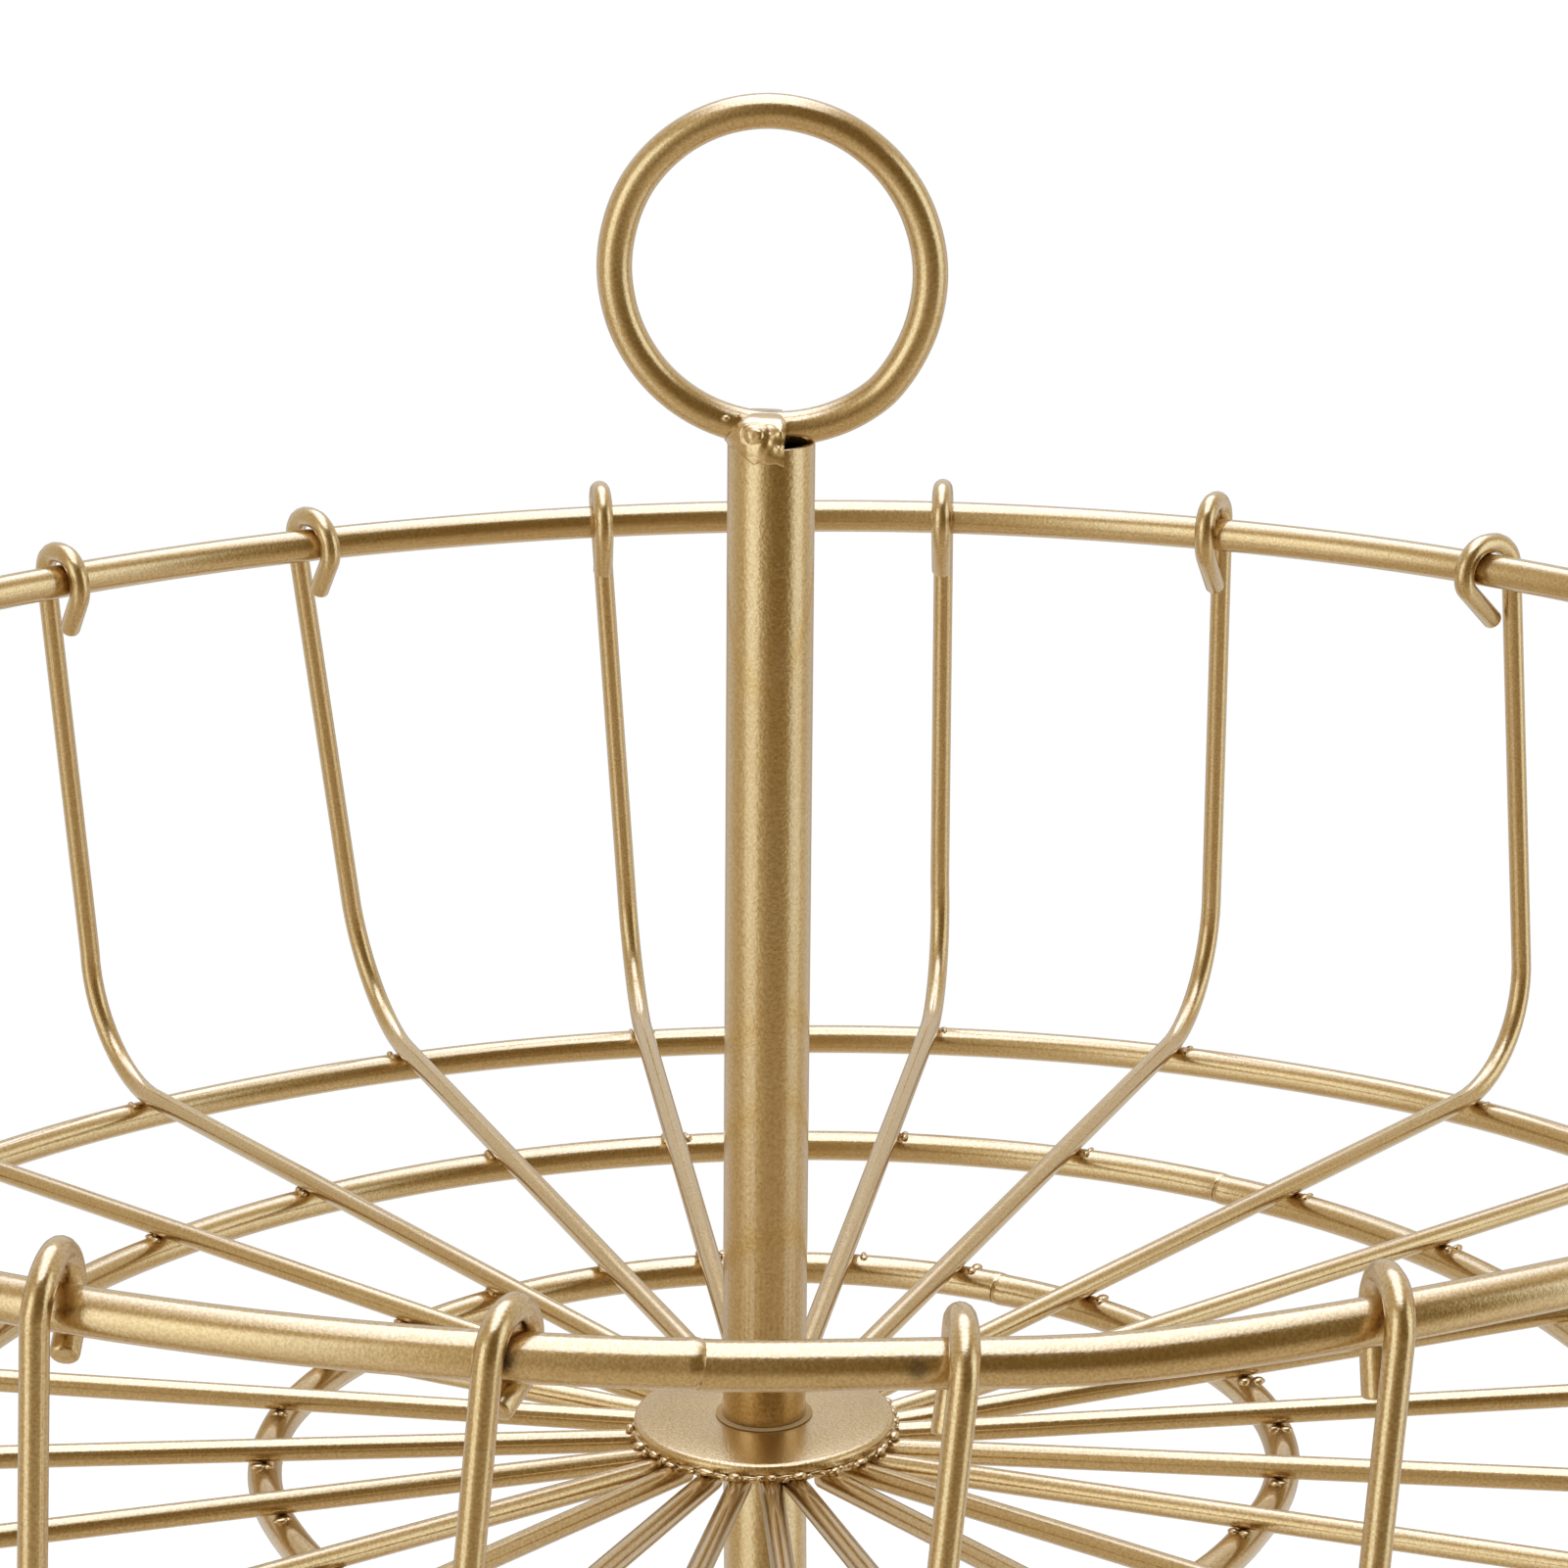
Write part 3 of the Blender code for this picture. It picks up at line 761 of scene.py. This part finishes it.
def buildBasket(tier, wirePaint, platePaint):
    # one basket: floor rings and the beads on them, rim, spokes, hub plate and its weld metal
    basket = measureBasket(tier)
    body = basket["body"]
    ringHeight = basket["ringHeight"]
    chance = np.random.default_rng(beadSeed)
    for place, seamDeg in seam["floorDeg"].items():
        node = f"{tier}_floor_ring_{place}"
        radius = middles(node)[0]
        step = seam["floorStep"] * basket["riseShare"]
        turn = seamDeg + basket["turnDeg"]
        grid = ringGrid(place, radius, ringHeight, wireSizes["floorRing"], turn, basket, step)
        piece(f"{tier}FloorRing{place.title()}", [grid], wirePaint, body, [node], True)
        welds = ringWelds(place, basket, radius, ringHeight, chance)
        piece(f"{tier}Welds{place.title()}", welds, wirePaint, body)
    rim = ringGrid("rim", basket["rimRadius"], basket["rimHeight"], wireSizes["rim"],
                   basket["rimSeamDeg"], basket, seam["step"])
    piece(f"{tier}Rim", [rim], wirePaint, body, [f"{tier}_rim"], True)
    index = 0
    while index < len(floorDeg):
        number = index + 1
        grids = [spokeGrid(basket, index)]
        node = f"{tier}_spoke_{number:02}"
        if number in basket["pairs"]:
            grids.append(spokeGrid(basket, number))
            node = f"{tier}_spokes_{number:02}_{number + 1:02}"
        piece(f"{tier}Spoke{number:02}", grids, wirePaint, body, [node])
        index += len(grids)
    node = f"{tier}_plate"
    under = spans(node)[2]
    plate = tubeGrid(*spans(node), hubPlate["edges"], hubPlate["steps"])
    piece(f"{tier}Plate", [plate], platePaint, body, [node], True, crispDeg)
    welds = hubWelds(basket, under, chance)
    piece(f"{tier}HubWelds", welds, wirePaint, body)
    collar = hubCollar(basket, under)
    piece(f"{tier}HubCollar", [collar], wirePaint, body, (), True)
    print(tier, "basket done")


# Pole, washer, screws and handle

pole = dict(
    # lengths in mm
    lean=0.0142,  # slope to +X
    edge=0.18,
    steps=96,
    washer=0.14,
    washerEdge=0.04,
    washerClear=0.02,  # over the plate, and then under the pole's foot
    footClear=0.01,
    handleLift=0.45,
    handleAside=-0.17,
    handleSteps=200,
    packedSides=8,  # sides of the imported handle's wire
)
thread = dict(
    # lengths in mm
    pitch=1.0,
    depth=0.55,
    steepness=1.3,  # of the flanks, as a share of a plain zigzag's
    crest=0.15,  # share of the zigzag that is cut off flat
    radius=3.0,
)
stud = dict(
    steps=48,
    rowStep=0.1,  # mm, as is the next one
    tip=0.7,
)
baseScrew = dict(
    # lengths in mm
    steps=96,
    rowStep=0.12,
    headTall=3.0,
    underBevel=(0.5, 0.12, 0.2, 0.6),  # the head's lower edge: two insets, two rises
    topBevel=0.2,
    socket=2.0,  # from its middle to a flat
    socketDeep=1.8,
    socketBevel=0.15,
    socketFloorShare=0.3,
    tipRadius=2.4,
    tipLength=0.4,
    sharpDeg=30,
)


def leaned(grid):
    # the upper pole stands a little askew: x + slope * height above the hub plate
    moved = grid.copy()
    moved[..., 0] += pole["lean"] * np.maximum(0, grid[..., 2] - plateTopHeight)
    return moved


def threadCut(height, turn):
    # how deep the thread is cut: a zigzag of height / pitch - turn, with flat crests and roots
    wave = np.abs(2 * ((height / (thread["pitch"] * mm) - turn) % 1) - 1)
    return thread["depth"] * mm * np.clip(wave * thread["steepness"] - thread["crest"], 0, 1)


def studGrid(node, threadTop):
    # the stud: a plain top end, and below it the thread's radius less its cut, which narrows evenly
    # over the tip
    _, plain, low, high = spans(node)
    full = thread["radius"] * mm
    tip = stud["tip"] * mm
    height = np.arange(low, high, stud["rowStep"] * mm)[:, None]
    turn = np.linspace(0, 1, stud["steps"], endpoint=False)[None]
    narrowed = full - tip * np.clip(1 - (height - low) / tip, 0, 1)
    threaded = np.minimum(full - threadCut(height, turn), narrowed)
    radius = np.where(height < threadTop, threaded, plain)
    return aroundPole(radius, turn * 2 * math.pi, height)


def screwGrid():
    # the base screw: rows run from the socket's floor out over the head's underside and up to the
    # tip; the socket's rows take the radius of a hexagon, flat / cos of the angle from the flat
    _, outer, low, high = spans("base_screw")
    u = np.linspace(0, 2 * math.pi, baseScrew["steps"], endpoint=False)
    sector = math.pi / 3
    hexagon = baseScrew["socket"] * mm / np.cos((u + sector / 2) % sector - sector / 2)
    radius = thread["radius"] * mm
    headTop = low + baseScrew["headTall"] * mm
    socketFloor = low + baseScrew["socketDeep"] * mm
    socketBevel = baseScrew["socketBevel"] * mm
    wideInset, inset, rise, wideRise = (size * mm for size in baseScrew["underBevel"])
    topBevel = baseScrew["topBevel"] * mm
    rows = [
        (baseScrew["socketFloorShare"] * hexagon, socketFloor),
        (hexagon, socketFloor),
        (hexagon, low + socketBevel),
        (hexagon + socketBevel, low),
        (outer - wideInset, low),
        (outer - inset, low + rise),
        (outer, low + wideRise),
        (outer, headTop - topBevel),
        (outer - topBevel, headTop),
        (radius, headTop),
    ]
    head = np.stack([aroundPole(away, u, height) for away, height in rows])
    shaftTop = high - baseScrew["tipLength"] * mm
    height = np.arange(headTop, shaftTop, baseScrew["rowStep"] * mm)[:, None]
    shaft = aroundPole(radius - threadCut(height, u[None] / (2 * math.pi)), u, height)
    tip = aroundPole(baseScrew["tipRadius"] * mm, u, high)[None]
    return np.vstack([head, shaft, tip])


def handleGrid(centre, radius, wire):
    # the ring handle: a hand-bent circle in the XZ plane carried by the wire's section
    angle = np.linspace(0, 2 * math.pi, pole["handleSteps"], endpoint=False)
    away = radius + drift("handle", np.degrees(angle))[0]
    path = np.stack([away * np.cos(angle), 0 * angle, away * np.sin(angle)], -1) + centre
    return carried(path, wire, np.array([0, 1.0, 0]), wireSides["handle"], closed=True)


weld = dict(
    # lengths in mm from the middle of the pole's top; places are (to the right, up) as seen from
    # the front, a little above
    steps=240,
    rows=48,
    left=4.7,
    slotFrom=1.5,
    slotTop=2.3,
    toe=-0.35,
    toeFront=-1.8,
    toeWaves=((0.30, 7, 0.6), (0.14, 17, 1.0)),  # size, count and phase of each sine
    toeClear=0.02,
    tubeDeg=162.0,
    headPower=0.7,  # how square the loop on the ring's tube is
    wallShare=0.60,
    ringShare=0.50,
    leaving=(0.3, 1.0, -0.08),  # direction in which the metal leaves the ring
    proud=0.03,
    toeInside=(0.9, 0.5, 0.3),  # how the ends are closed: share, depth, share
    seenFrom=(0.96, 0.28),  # shares of height and depth in what shows as up
    bead=(-2.0, 0.42),
    beadSize=1.0,
    beadProud=0.20,
    moat=(0.13, 1.15, 0.18),  # depth, distance in beads, width
    relief=(
        # place, width, height, how far proud: blob, drop, valley, hollows
        (1.07, 0.72, 0.45, 0.65, 0.40),
        (0.85, -1.33, 0.42, 0.38, 0.55),
        (-0.2, 0.6, 0.45, 0.9, -0.22),
        (-0.45, -0.6, 0.4, 0.5, -0.22),
        (1.8, 1.25, 0.35, 0.3, -0.22),
    ),
    toeSwell=0.10,
    ripple=(0.04, 3.6, 2.9, 4.3, 1.7, 0.5),  # size, four rates, and where it ends
    liftShare=0.3,
    sharpDeg=55,
    spatter=((-5.36, 107.0, 0.45), (-4.1, 128.0, 0.3)),  # along, round the tube in degrees, size
    spatterShape=(1.25, 0.9, 0.9),
    spatterLumps=(0.1, -0.08, 0.05),
    spatterGrid=(11, 18),
)


def onRing(along, lean, centre, radius, wire):
    # a point on the ring's tube: along from its lowest point, lean round the tube from below
    turn = -math.pi / 2 + along / radius
    reach = radius + drift("handle", np.degrees(turn))[0] + wire * np.cos(lean)
    return np.stack([reach * np.cos(turn), wire * np.sin(lean), reach * np.sin(turn)], -1) + centre


def handleWeld(top, ringCentre, ringRadius, wire, wallRadius, boreRadius):
    # weld metal between the pole's end and the ring: rows run on a cubic curve from a toe round
    # the pole's wall, up the wall's line, and over to a loop on the ring's tube, where they lie
    # flat; on the right the toe turns inside, so the tube's end stays open
    u = np.linspace(0, 2 * math.pi, weld["steps"], endpoint=False)
    cosine, sine = np.cos(u), np.sin(u)
    slotFrom = weld["slotFrom"] * mm
    onSlot = cosine * wallRadius > slotFrom
    frontLow = weld["toeFront"] - weld["toe"] + sines(u, weld["toeWaves"])
    low = weld["toe"] + frontLow * np.clip(-sine, 0, 1) ** 3
    toe = np.stack([wallRadius * cosine, wallRadius * sine, top[2] + low * mm], -1)
    halfSlot = np.sqrt(boreRadius ** 2 - slotFrom ** 2)
    toe[onSlot, 0] = slotFrom
    toe[onSlot, 1] = halfSlot * sine[onSlot] / np.abs(sine[onSlot]).max()
    toe[:, 0] += top[0]
    right = weld["slotFrom"] + (weld["slotTop"] - weld["slotFrom"]) * np.abs(sine)
    along = np.where(cosine < 0, -weld["left"], right) * np.abs(cosine) ** weld["headPower"] * mm
    lean = np.radians(weld["tubeDeg"]) * sine
    head = onRing(along, lean, ringCentre, ringRadius, wire + weld["proud"] * mm)
    span = np.linalg.norm(head - toe, axis=-1, keepdims=True)
    leaving = unit(np.stack([cosine, sine, 0 * u + 1], -1) * weld["leaving"])
    wallEnd = toe + up * span * weld["wallShare"]
    ringEnd = head + leaving * span * weld["ringShare"]
    t = np.linspace(0, 1, weld["rows"])[:, None, None]
    ends = (1 - t) ** 3 * toe + t ** 3 * head
    grid = ends + 3 * t * (1 - t) ** 2 * wallEnd + 3 * t ** 2 * (1 - t) * ringEnd
    share, deep, headShare = weld["toeInside"]
    ringBottom = ringCentre - [0, 0, ringRadius + drift("handle", 270.0)[0]]
    toeInside = toe * [share, share, 1] - [0, 0, deep * mm]
    headInside = head + (ringBottom - head) * headShare
    push = weldRelief(grid, top, t[..., 0]) * np.clip(-grid[..., 1] / mm, 0, 1)
    push *= np.sin(np.pi * t[..., 0]) ** 0.5
    grid[..., 1] -= push * mm
    grid[..., 2] += push * mm * weld["liftShare"]
    return np.concatenate([toeInside[None], grid, headInside[None]])


def weldRelief(grid, top, t):
    # how far the weld's front stands proud, in mm: a round bead with a moat, swellings and hollows
    # exp(-(x / wide)^2 - (z / tall)^2), a swollen toe and ripples below
    upShare, deepShare = weld["seenFrom"]
    side = (grid[..., 0] - top[0]) / mm
    high = ((grid[..., 2] - top[2]) * upShare + grid[..., 1] * deepShare) / mm
    away = np.hypot(side - weld["bead"][0], high - weld["bead"][1]) / weld["beadSize"]
    moat, moatAt, moatWide = weld["moat"]
    push = weld["beadProud"] * np.exp(-away ** 4)
    push -= moat * np.exp(-((away - moatAt) / moatWide) ** 2)
    for right, above, wide, tall, proud in weld["relief"]:
        push += proud * np.exp(-((side - right) / wide) ** 2 - ((high - above) / tall) ** 2)
    push += weld["toeSwell"] * (1 - t) ** 2
    size, a, b, c, d, end = weld["ripple"]
    return push + size * np.sin(side * a + high * b) * np.sin(high * c - side * d) * (high < end)


def handleSpatter(ringCentre, ringRadius, wire):
    # small beads that ran onto the ring beside the weld
    along, lean, size = np.array(weld["spatter"]).T
    middle = onRing(along * mm, np.radians(-lean), ringCentre, ringRadius, wire)
    axes = np.tile(np.eye(3), (len(size), 1, 1))
    sizes = size[:, None] * weld["spatterShape"] * mm
    lumps = np.tile(weld["spatterLumps"], (len(size), 1))
    return list(blobs(middle, axes, sizes, lumps, *weld["spatterGrid"]))


def buildPole(polePaint, wirePaint, zinc, nylon):
    # both tubes, the washer, the stud and the base screw, then the ring handle and its weld
    bore, radius, low, high = spans("lower_pole")
    edges = np.full(4, pole["edge"])
    lowerPole = tubeGrid(bore, radius, low, high, edges, pole["steps"])
    piece("lowerPole", [lowerPole], polePaint, "lower_tier", ["lower_pole"], True, crispDeg)
    threadTop, high = spans("upper_pole")[2:]
    washerLow = plateTopHeight + pole["washerClear"] * mm
    foot = washerLow + pole["washer"] * mm
    upperPole = leaned(tubeGrid(bore, radius, foot, high, edges, pole["steps"]))
    piece("upperPole", [upperPole], polePaint, "upper_pole", ["upper_pole"], True, crispDeg)
    hole, outer = spans("pole_washer")[:2]
    edges = np.full(4, pole["washerEdge"])
    washerTop = foot - pole["footClear"] * mm
    washer = tubeGrid(hole, outer, washerLow, washerTop, edges, pole["steps"])
    piece("poleWasher", [washer], nylon, "pole_washer", ["pole_washer"], True, crispDeg)
    threaded = studGrid("pole_stud", threadTop)
    piece("poleStud", [threaded], zinc, "upper_pole", ["pole_stud"])
    sharpDeg = baseScrew["sharpDeg"]
    piece("baseScrew", [screwGrid()], zinc, "lower_tier", ["base_screw"], sharpDeg=sharpDeg)
    wire = wireSizes["handle"] * mm / 2
    lowest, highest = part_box("ring_handle")
    centre = np.array([0, 0, (lowest.z + highest.z) / 2 + pole["handleLift"] * mm])
    centre[0] = pole["lean"] * (centre[2] - plateTopHeight) + pole["handleAside"] * mm
    ringRadius = (highest.x - lowest.x) / 2 - wire * math.cos(math.pi / pole["packedSides"])
    ring = handleGrid(centre, ringRadius, wire)
    piece("ringHandle", [ring], wirePaint, "upper_pole", ["ring_handle"], True)
    top = np.array([pole["lean"] * (high - plateTopHeight), 0, high])
    welded = handleWeld(top, centre, ringRadius, wire, radius + weld["toeClear"] * mm, bore)
    piece("handleWeld", [welded], wirePaint, "upper_pole", sharpDeg=weld["sharpDeg"])
    spatter = handleSpatter(centre, ringRadius, wire)
    piece("handleSpatter", spatter, wirePaint, "upper_pole")
    for node in ("lower_pole_top_plug", "lower_pole_bottom_plug"):
        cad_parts[node].data.materials.clear()
        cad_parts[node].data.materials.append(zinc[0])
    print("pole done")


# Studio

studio = dict(
    # name: place and aim in metres, width and height in metres, radiance
    overhead=((0.0, 0.50, 1.45), (0.0, 0.0, 0.25), 1.7, 1.5, 2.6),
    left=((-1.05, -0.95, 0.62), (0.0, 0.0, 0.25), 0.9, 1.1, 2.0),
    right=((1.40, -0.38, 0.45), (0.0, 0.0, 0.25), 0.75, 0.9, 1.6),
)
room = dict(
    # colours of light by direction; reaches are the values between which a mask goes from 0 to 1
    ambient=0.45,
    backdrop=(0.80, 0.79, 0.76, 1),
    backdropReach=(0.05, 0.55),
    sides=(0.69, 0.62, 0.49, 1),
    beyond=(0.50, 0.43, 0.34, 1),
    beyondReach=(0.70, 0.93),
    beyondAbove=(-0.10, 0.15),
    walls=(
        # the dark room and two cool soft boxes: angle, reach of the cosine from it, reach of the
        # height from below and from above, colour
        (-63.0, (0.55, 0.98), (-0.70, 0.0), (0.85, 0.95), (0.22, 0.154, 0.062, 1)),
        (-138.0, (0.925, 0.985), (-1.3, 0.35), (0.40, 0.70), (1.7, 1.9, 2.1, 1)),
        (-15.0, (0.925, 0.985), (-1.3, 0.35), (0.40, 0.70), (1.5, 1.7, 1.9, 1)),
    ),
    overhead=(2.3, 2.75, 4.1, 1),
    overheadAim=(0.0, 0.174, 0.985),
    overheadReach=(0.729, 0.793),
    overheadWidth=(0.15, 0.58),
)


def addLamp(name, place, aim, width, height, radiance):
    # a soft box that faces its aim; its power follows from its radiance
    data = bpy.data.lights.new(name, "AREA")
    data.shape = "RECTANGLE"
    data.size = width
    data.size_y = height
    data.energy = radiance * math.pi * width * height
    lamp = placed(name, data)
    lamp.location = place
    lamp.rotation_euler = (Vector(aim) - Vector(place)).to_track_quat("-Z", "Y").to_euler()
    lamp.visible_camera = False
    lamp.visible_glossy = False


def level(direction, deg):
    # how far a direction points to a compass angle: the cosine between both on the level
    tree = direction.tree
    turn = math.radians(deg)
    flat = tree.vector("NORMALIZE", tree.vector("MULTIPLY", direction, (1.0, 1.0, 0.0)))
    return tree.vector("DOT_PRODUCT", flat, (math.cos(turn), math.sin(turn), 0.0), output=1)


def buildWorld():
    # white for the camera; metal sees a studio: white backdrop, cool soft boxes overhead and at
    # both sides, and a dark warm room behind the camera, each a smooth mask over the direction
    world = bpy.data.worlds.new("studio")
    bpy.context.scene.world = world
    tree = Tree(world)
    outputs = tree.node("ShaderNodeLightPath").socket.node.outputs
    rays = ("Is Camera Ray", "Is Glossy Ray", "Is Transmission Ray")
    camera, glossy, through = (Link(tree, outputs[name]) for name in rays)
    direction = tree.node("ShaderNodeTexCoord", output=0)
    parts = tree.node("ShaderNodeSeparateXYZ", {0: direction}).socket.node.outputs
    x, y, z = (Link(tree, parts[axis]) for axis in "XYZ")
    seen = tree.mix(y.between(*room["backdropReach"]), room["sides"], room["backdrop"])
    beyond = y.between(*room["beyondReach"]) * (1 - z.between(*room["beyondAbove"]))
    seen = tree.mix(beyond, seen, room["beyond"])
    for deg, reach, low, high, colour in room["walls"]:
        wall = level(direction, deg).between(*reach) * z.between(*low) * (1 - z.between(*high))
        seen = tree.mix(wall, seen, colour)
    above = tree.vector("DOT_PRODUCT", direction, room["overheadAim"], output=1)
    narrow = 1 - x.maths("ABSOLUTE", x).between(*room["overheadWidth"])
    seen = tree.mix(above.between(*room["overheadReach"]) * narrow, seen, room["overhead"])
    ambient = tree.mix(glossy, (room["ambient"],) * 3 + (1,), seen)
    light = tree.mix(camera.maths("MAXIMUM", camera, through), ambient, (1, 1, 1, 1))
    tree.plug(tree.nodes["Background"], {"Color": light, "Strength": 1.0})


floorPaint = dict(
    # lengths in m
    middle=0.02,
    radius=0.85,
    rings=24,
    steps=96,
    below=0.0002,  # under the stand
    colour=(0.80, 0.80, 0.80, 1),
    rough=0.9,
    glow=0.12,
    fade=(0.24, 0.62),
)


def buildFloor():
    # a round pale floor that takes the shadow near the stand and fades into the white backdrop
    radii = np.linspace(floorPaint["radius"], floorPaint["middle"], floorPaint["rings"])
    grid = turned(np.stack([radii, 0 * radii - floorPaint["below"]], -1), floorPaint["steps"])
    rows, columns = grid.shape[:2]
    material, tree, shader, place = newMaterial("paleFloor")
    white = (1, 1, 1, 1)
    fade = tree.vector("LENGTH", place, output=1).between(*floorPaint["fade"])
    tree.plug(shader, {
        "Base Color": floorPaint["colour"],
        "Roughness": floorPaint["rough"],
        "Emission Color": white,
        "Emission Strength": floorPaint["glow"],
    })
    bright = tree.node("ShaderNodeEmission", {"Color": white, "Strength": 1.0})
    both = tree.node("ShaderNodeMixShader", {0: fade, 1: Link(tree, shader.outputs[0]), 2: bright})
    tree.plug(tree.nodes["Material Output"], {"Surface": both})
    faces = gridFaces(rows, columns, False).tolist()
    faces.append(list(range((rows - 1) * columns, rows * columns)))
    floor = placed("floor", newMesh("floor", grid.reshape(-1, 3), faces, material))
    floor.visible_glossy = False


shot = dict(
    place=(1.43, -578.6, 249.5),  # from the top of the upper hub plate, mm
    pitch=0.2871,  # radians down
    yaw=0.0025,
    roll=-0.0064,
    focalPixels=5320.8,
    framePixels=1601,
    sensor=36.0,  # mm
    nearest=0.02,  # m
)


def buildCamera():
    # the photograph's view: forward from yaw and pitch, then right and above turned by the roll
    data = bpy.data.cameras.new("camera")
    data.sensor_width = shot["sensor"]
    data.lens = shot["focalPixels"] / shot["framePixels"] * shot["sensor"]
    data.clip_start = shot["nearest"]
    yaw, pitch = shot["yaw"], shot["pitch"]
    ahead = Vector((math.sin(yaw), math.cos(yaw), 0))
    forward = ahead * math.cos(pitch) - Vector((0, 0, math.sin(pitch)))
    right = Vector((math.cos(yaw), -math.sin(yaw), 0))
    above = right.cross(forward)
    cosine, sine = math.cos(shot["roll"]), math.sin(shot["roll"])
    rightRolled = right * cosine + above * sine
    upRolled = above * cosine - right * sine
    turn = Matrix((rightRolled, upRolled, -forward)).transposed().to_4x4()
    place = Vector(shot["place"]) * mm + Vector((0, 0, plateTopHeight))
    camera = placed("camera", data)
    camera.matrix_world = Matrix.Translation(place) @ turn
    bpy.context.scene.camera = camera


plateTopHeight = spans("upper_plate")[3]
bpy.context.scene.view_settings.view_transform = "Standard"
stains = []
for deg, away, height, size, strength in heatStains:
    spot = outward(deg) * away + np.array([baskets["upper"]["ringsAside"], 0, height])
    place = spot * mm + np.array([0, 0, plateTopHeight])
    stains.append((tuple(place.tolist()), size * mm, strength))
gold = makeGold("satinGoldWire", stains=stains), "wire_paint"
goldPole = makeGold("satinGoldPole", scale=0.8, grain=0.6, roughness=0.23), "pole_paint"
plateLook = dict(scale=1.1, grain=0.5, roughness=0.14, coat=0.72, coatRoughness=0.22)
goldPlate = makeGold("satinGoldPlate", **plateLook), "plate_paint"
zincPlate = makeZinc(), "zinc_steel"
buildBasket("upper", gold, goldPlate)
buildBasket("lower", gold, goldPlate)
buildPole(goldPole, gold, zincPlate, (makeNylon(), "nylon"))
for name, settings in studio.items():
    addLamp(name, *settings)
buildWorld()
buildFloor()
buildCamera()
print("studio done")
